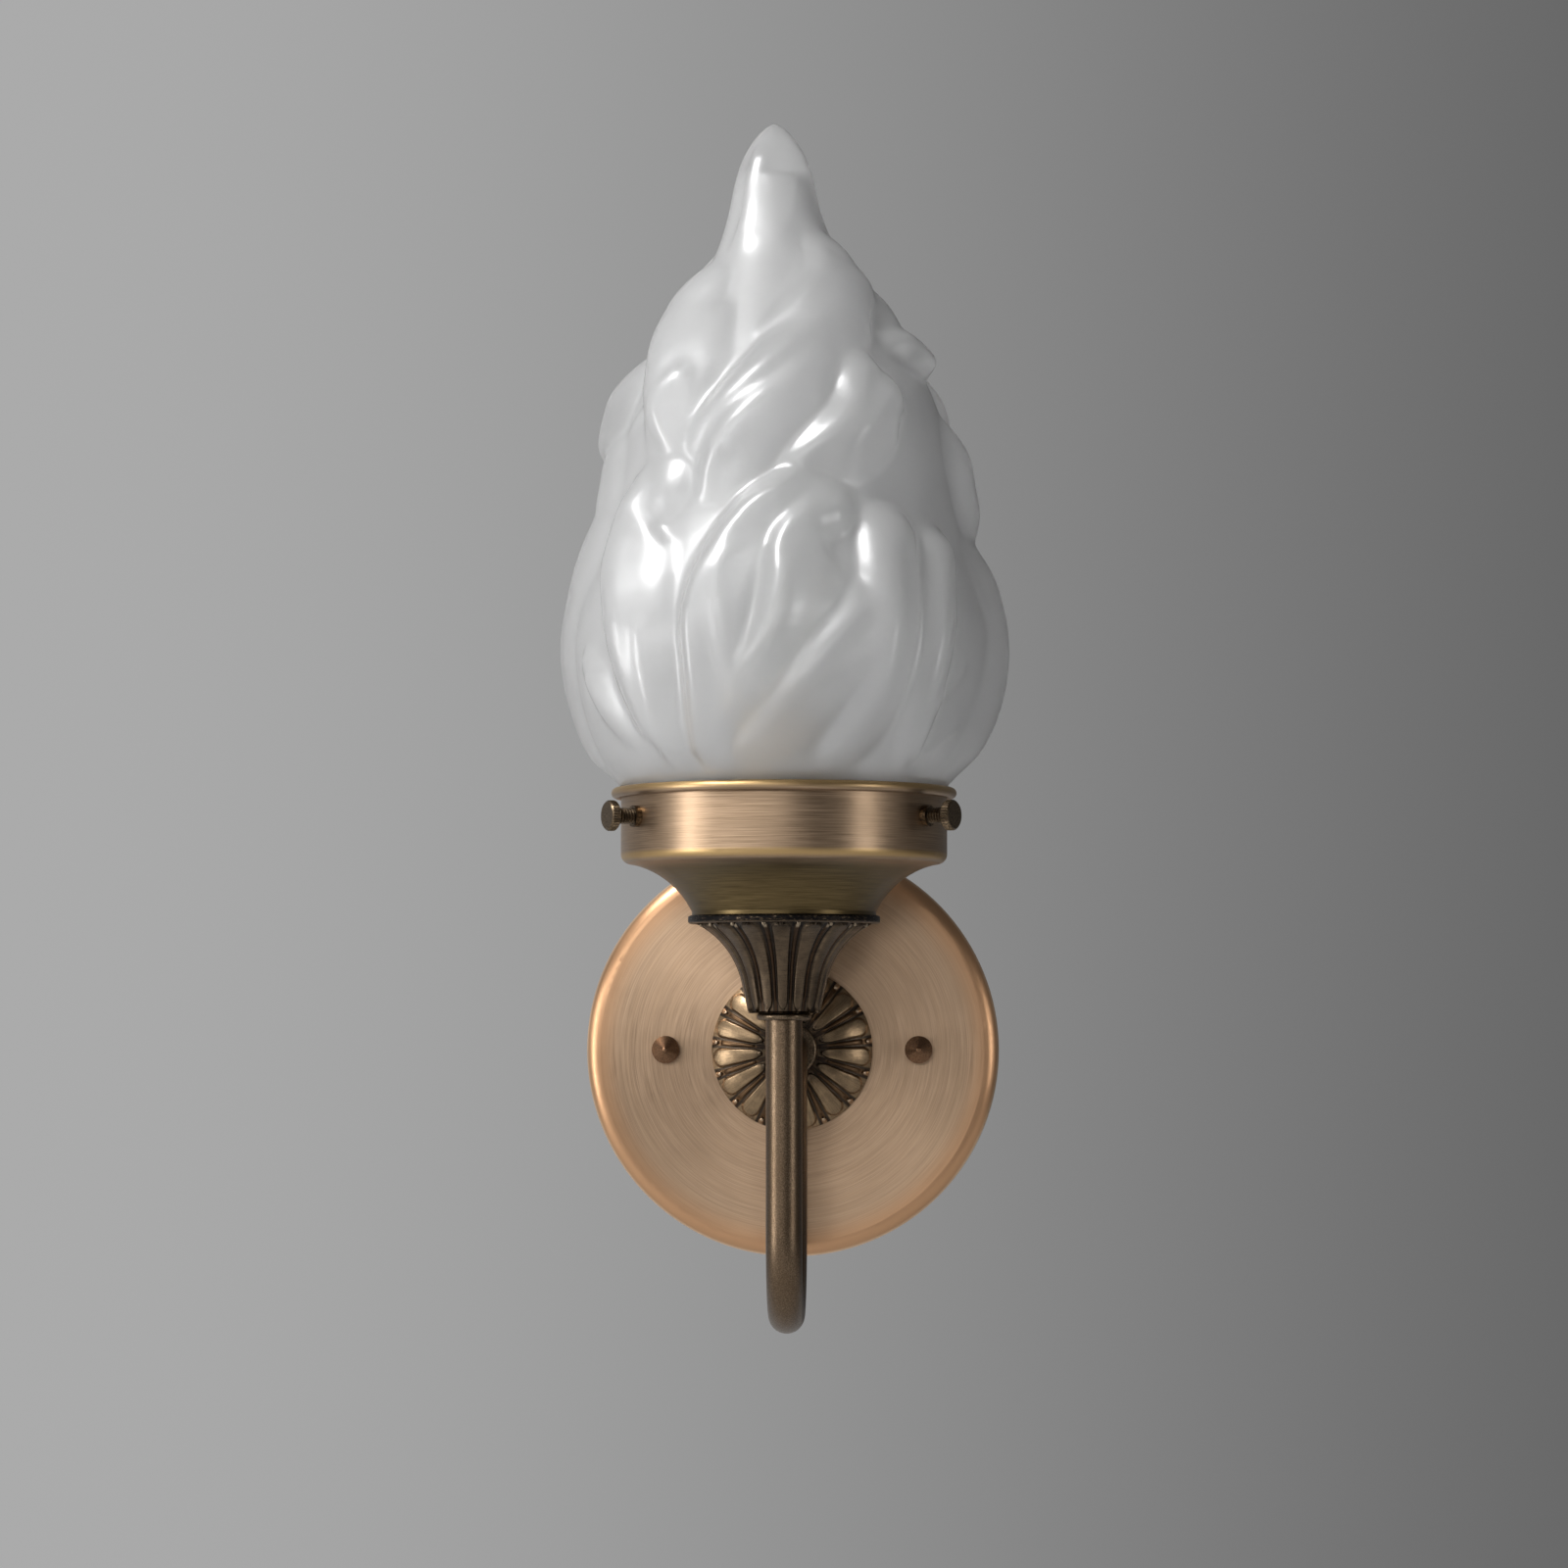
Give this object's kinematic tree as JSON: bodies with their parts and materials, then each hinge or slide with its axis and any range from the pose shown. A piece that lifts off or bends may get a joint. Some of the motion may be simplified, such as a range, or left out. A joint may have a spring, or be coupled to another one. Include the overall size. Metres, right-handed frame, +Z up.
{
  "type": "torch wall sconce",
  "caption": "Torch wall sconce: round canopy with rosette, bent tube arm, fluted cup and a flame-shaped frosted glass shade held by thumb screws.",
  "frame": {"origin": "middle of the canopy on the wall plane, which is also the middle of the crossbar's box-screw slots", "axes": "+Z up, +Y into the wall, +X to the right of someone facing the wall"},
  "size_m": [0.1187, 0.147, 0.3189],
  "materials": {
    "spun_brass": "brushed antique brass",
    "screw_brass": "knurled antique brass",
    "canopy_bronze": "satin antique brass with a coppery edge",
    "cast_patina": "cast brass, dark in the valleys and worn on the ridges",
    "arm_bronze": "dark mottled bronze",
    "cap_nut_brass": "antique brass with bright tips",
    "zinc_steel": "zinc plated",
    "ground_green": "green",
    "black_insulation": "black",
    "white_insulation": "white",
    "green_insulation": "green",
    "connector_plastic": "orange",
    "socket_brass": "polished brass",
    "fibre": "vulcanised fibre",
    "phenolic": "moulded black",
    "shell_aluminium": "plain",
    "contact_brass": "plain brass",
    "nickel": "nickel plated",
    "solder": "solder",
    "black_glass": "black glass",
    "clear_glass": "clear",
    "filament_metal": "wire",
    "tip_rubber": "soft white plug",
    "frosted_glass": "frosted, translucent"
  },
  "bodies": {
    "fixture": {"crossbar": "zinc_steel", "canopy_stud_left": "zinc_steel", "stud_nut_left": "zinc_steel", "cap_nut_left": "cap_nut_brass", "canopy_stud_right": "zinc_steel", "stud_nut_right": "zinc_steel", "cap_nut_right": "cap_nut_brass", "ground_screw": "ground_green", "canopy": "canopy_bronze", "rosette": "cast_patina", "lower_check_ring": "arm_bronze", "arm_tube": "arm_bronze", "arm_washer": "zinc_steel", "arm_nut": "zinc_steel", "black_lead": "black_insulation", "black_wire_connector": "connector_plastic", "black_terminal_screw": "contact_brass", "white_lead": "white_insulation", "white_wire_connector": "connector_plastic", "white_terminal_screw": "nickel", "ground_lead": "green_insulation", "upper_check_ring": "arm_bronze", "cup": "cast_patina", "shade_holder": "spun_brass", "holder_washer": "zinc_steel", "holder_nut": "zinc_steel", "screw_boss_right": "spun_brass", "screw_boss_rear": "spun_brass", "screw_boss_left": "spun_brass", "socket_cap": "socket_brass", "socket_shell": "socket_brass", "insulating_sleeve": "fibre", "socket_body": "phenolic", "screw_shell": "shell_aluminium", "centre_contact": "contact_brass"},
    "shade": {"glass_shade": "frosted_glass"},
    "bulb": {"bulb_button": "solder", "bulb_insulator": "black_glass", "bulb_base": "nickel", "bulb_glass": "clear_glass", "bulb_stem": "clear_glass", "bulb_filament": "filament_metal"},
    "right_tip": {"screw_tip_right": "tip_rubber"},
    "right_screw": {"thumb_screw_right": "screw_brass"},
    "rear_tip": {"screw_tip_rear": "tip_rubber"},
    "rear_screw": {"thumb_screw_rear": "screw_brass"},
    "left_tip": {"screw_tip_left": "tip_rubber"},
    "left_screw": {"thumb_screw_left": "screw_brass"}
  },
  "joints": [
    {"name": "shade_lift", "type": "slide", "parent": "fixture", "child": "shade", "axis": [0, 0, 1], "range_m": [0, 0.125]},
    {"name": "bulb_unscrew", "type": "slide", "parent": "fixture", "child": "bulb", "axis": [0, 0, 1], "range_m": [0, 0.026]},
    {"name": "right_screw_travel", "type": "slide", "parent": "fixture", "child": "right_tip", "axis": [0.866, -0.5, 0], "range_m": [-0.00119, 0.00119]},
    {"name": "right_screw_turn", "type": "hinge", "parent": "right_tip", "child": "right_screw", "pos_m": [0.03897, -0.1085, 0.0605], "axis": [0.866, -0.5, 0], "range_deg": [-540, 540]},
    {"name": "rear_screw_travel", "type": "slide", "parent": "fixture", "child": "rear_tip", "axis": [0, 1, 0], "range_m": [-0.00119, 0.00119]},
    {"name": "rear_screw_turn", "type": "hinge", "parent": "rear_tip", "child": "rear_screw", "pos_m": [0, -0.041, 0.0605], "axis": [0, 1, 0], "range_deg": [-540, 540]},
    {"name": "left_screw_travel", "type": "slide", "parent": "fixture", "child": "left_tip", "axis": [-0.866, -0.5, 0], "range_m": [-0.00119, 0.00119]},
    {"name": "left_screw_turn", "type": "hinge", "parent": "left_tip", "child": "left_screw", "pos_m": [-0.03897, -0.1085, 0.0605], "axis": [-0.866, -0.5, 0], "range_deg": [-540, 540]}
  ],
  "couplings": [
    {"joint": "right_screw_turn", "follows": "right_screw_travel", "rad_per_m": 7915.8},
    {"joint": "rear_screw_turn", "follows": "rear_screw_travel", "rad_per_m": 7915.8},
    {"joint": "left_screw_turn", "follows": "left_screw_travel", "rad_per_m": 7915.8}
  ]
}
